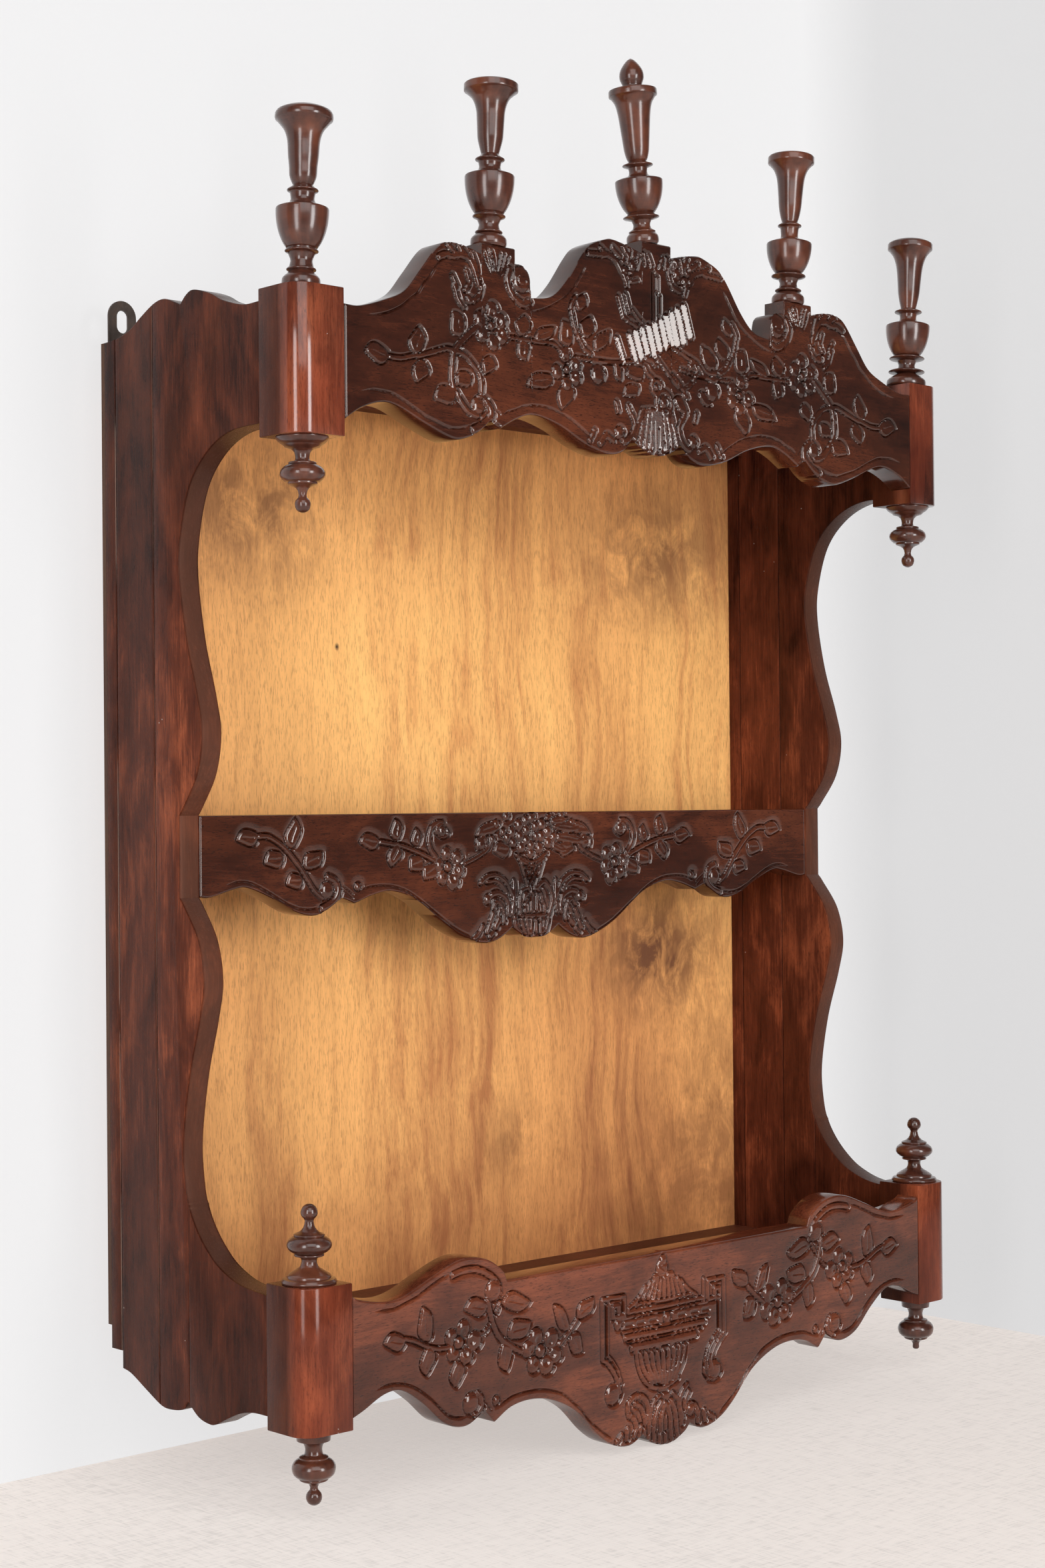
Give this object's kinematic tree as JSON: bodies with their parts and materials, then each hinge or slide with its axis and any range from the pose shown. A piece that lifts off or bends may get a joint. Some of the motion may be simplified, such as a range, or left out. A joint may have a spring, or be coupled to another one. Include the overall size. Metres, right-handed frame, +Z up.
{
  "type": "plate rack",
  "caption": "Wall-hung wooden plate rack with a carved crest and rails, turned finials and pendants, and lipped shelves that stand plates upright.",
  "frame": {"origin": "middle of the back panel's rear face, half-way between the ends of the posts", "axes": "+X across the rack to the viewer's right, +Y into the wall, +Z up"},
  "size_m": [0.7864, 0.2752, 1.187],
  "materials": {
    "walnut": "carved walnut, glossy reddish brown old polish",
    "turned_walnut": "turned walnut, dark brown old polish",
    "inner_wood": "plain brown wood, thin satin polish",
    "pale_panel": "golden thin panel, satin varnish",
    "dark_steel": "old dull steel"
  },
  "bodies": {
    "root": {"side_front_board_left": "walnut", "side_front_board_right": "walnut", "side_lower_wing_left": "walnut", "side_lower_wing_right": "walnut", "side_rear_board_left": "walnut", "side_rear_board_right": "walnut", "side_rear_strip_left": "walnut", "side_rear_strip_right": "walnut", "upper_post_left": "walnut", "upper_post_right": "walnut", "lower_post_left": "walnut", "lower_post_right": "walnut", "crest_rail": "walnut", "middle_rail": "walnut", "bottom_rail": "walnut", "middle_shelf": "inner_wood", "bottom_shelf": "inner_wood", "top_back_rail": "inner_wood", "back_panel": "pale_panel", "finial_post_left": "turned_walnut", "finial_crest_left": "turned_walnut", "finial_centre": "turned_walnut", "finial_crest_right": "turned_walnut", "finial_post_right": "turned_walnut", "upper_pendant_left": "turned_walnut", "upper_pendant_right": "turned_walnut", "lower_finial_left": "turned_walnut", "lower_finial_right": "turned_walnut", "lower_pendant_left": "turned_walnut", "lower_pendant_right": "turned_walnut", "hanging_plate_left": "dark_steel", "hanging_plate_right": "dark_steel", "plate_screw_left_1": "dark_steel", "plate_screw_left_2": "dark_steel", "plate_screw_right_1": "dark_steel", "plate_screw_right_2": "dark_steel", "nail_left_1": "dark_steel", "nail_left_2": "dark_steel", "nail_left_3": "dark_steel", "nail_left_4": "dark_steel", "nail_right_1": "dark_steel", "nail_right_2": "dark_steel", "nail_right_3": "dark_steel", "nail_right_4": "dark_steel", "nail_top_1": "dark_steel", "nail_top_2": "dark_steel", "nail_top_3": "dark_steel", "nail_middle_1": "dark_steel", "nail_middle_2": "dark_steel", "nail_middle_3": "dark_steel", "nail_bottom_1": "dark_steel", "nail_bottom_2": "dark_steel", "nail_bottom_3": "dark_steel"}
  },
  "joints": []
}
